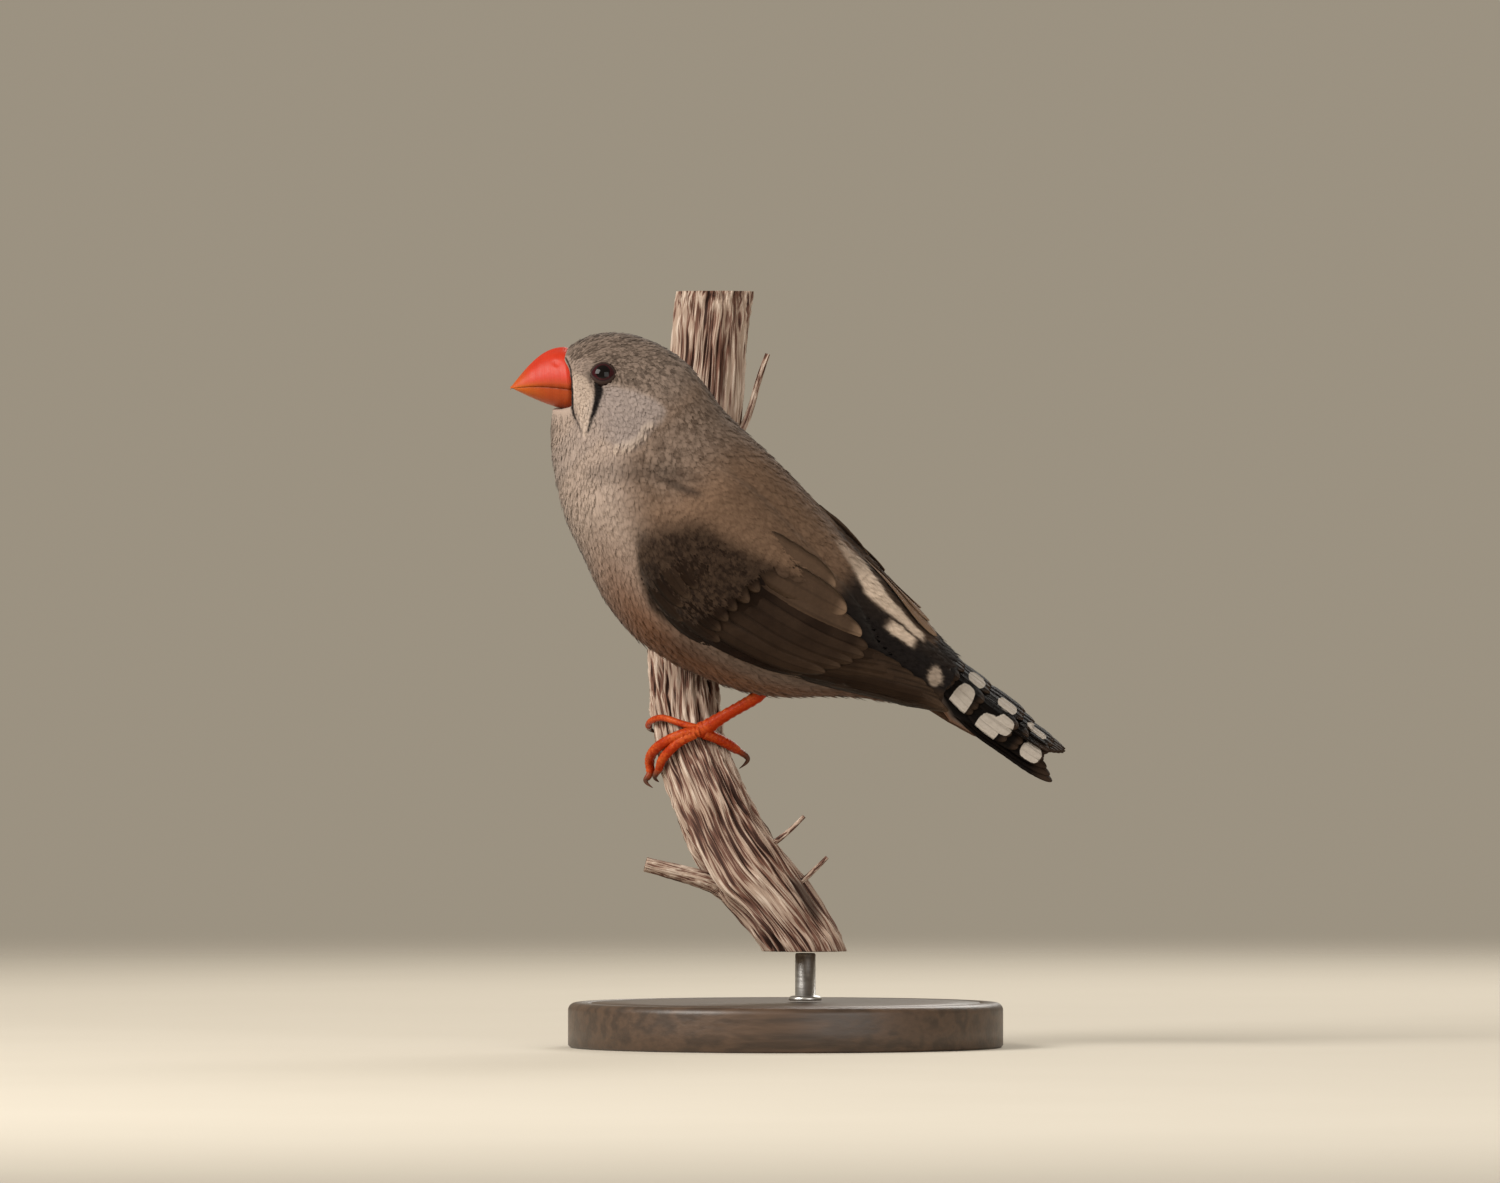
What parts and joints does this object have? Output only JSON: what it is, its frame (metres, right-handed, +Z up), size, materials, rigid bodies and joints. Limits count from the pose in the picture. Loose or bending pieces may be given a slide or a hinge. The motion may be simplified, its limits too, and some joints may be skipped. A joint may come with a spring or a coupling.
{
  "type": "zebra finch model",
  "caption": "Life-size still model of a female zebra finch gripping a cut length of steep stem, on a round display stand.",
  "frame": {"origin": "centre of the round base's underside", "axes": "+X from the bill towards the tail, the bird's left side faces -Y, +Z up"},
  "size_m": [0.0872, 0.068, 0.1185],
  "materials": {
    "plumage": "soft body feathers, pale grey to buff",
    "wing_feathers": "brown vanes with paler edges",
    "tail_feathers": "black vanes with white spots",
    "bill": "waxy orange horn",
    "eye": "dark glossy eye with a red-brown iris",
    "legs": "orange scaly skin with dark claws",
    "bark": "long fibrous grey and red-brown bark",
    "stand_metal": "plain steel rod",
    "stand_wood": "plain dark turned wood"
  },
  "bodies": {
    "root": {"head": "plumage", "neck": "plumage", "torso": "plumage", "bill_upper": "bill", "bill_lower": "bill", "eye_left": "eye", "eye_right": "eye", "wing_left": "wing_feathers", "wing_right": "wing_feathers", "tail": "tail_feathers", "leg_left": "legs", "leg_right": "legs", "perch_stem": "bark", "stand_rod": "stand_metal", "stand_base": "stand_wood"}
  },
  "joints": []
}
